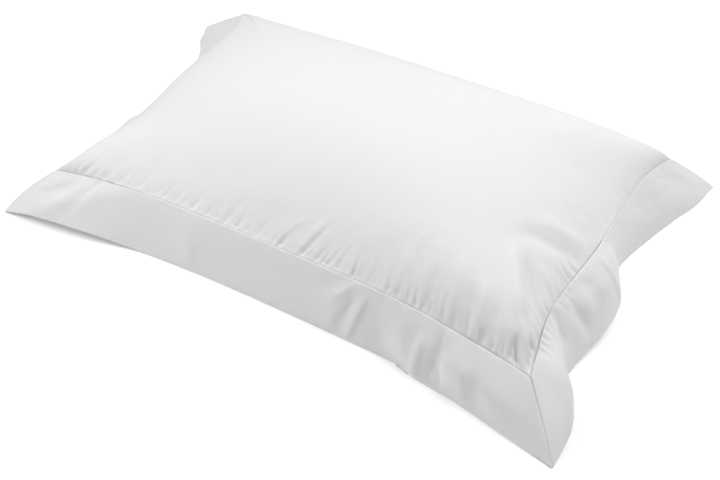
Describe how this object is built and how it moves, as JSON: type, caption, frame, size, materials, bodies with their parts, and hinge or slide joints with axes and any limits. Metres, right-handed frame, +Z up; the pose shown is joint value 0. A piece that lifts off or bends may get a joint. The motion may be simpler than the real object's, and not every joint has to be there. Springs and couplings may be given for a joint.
{
  "type": "pillowcase",
  "caption": "Filled bed pillowcase with a crowned top, drawn-in sides and a flat mitred border all round, lying on its back.",
  "frame": {"origin": "centre of the bounding box on the surface that the case lies on", "axes": "+X along the long side, +Y along the short side, +Z up through the crown"},
  "size_m": [0.8154, 0.5262, 0.1585],
  "materials": {
    "panel_cotton": "soft matte white",
    "border_cotton": "soft matte white"
  },
  "bodies": {
    "root": {"case_body": "panel_cotton", "border_near": "border_cotton", "border_right": "border_cotton", "border_far": "border_cotton", "border_left": "border_cotton"}
  },
  "joints": []
}
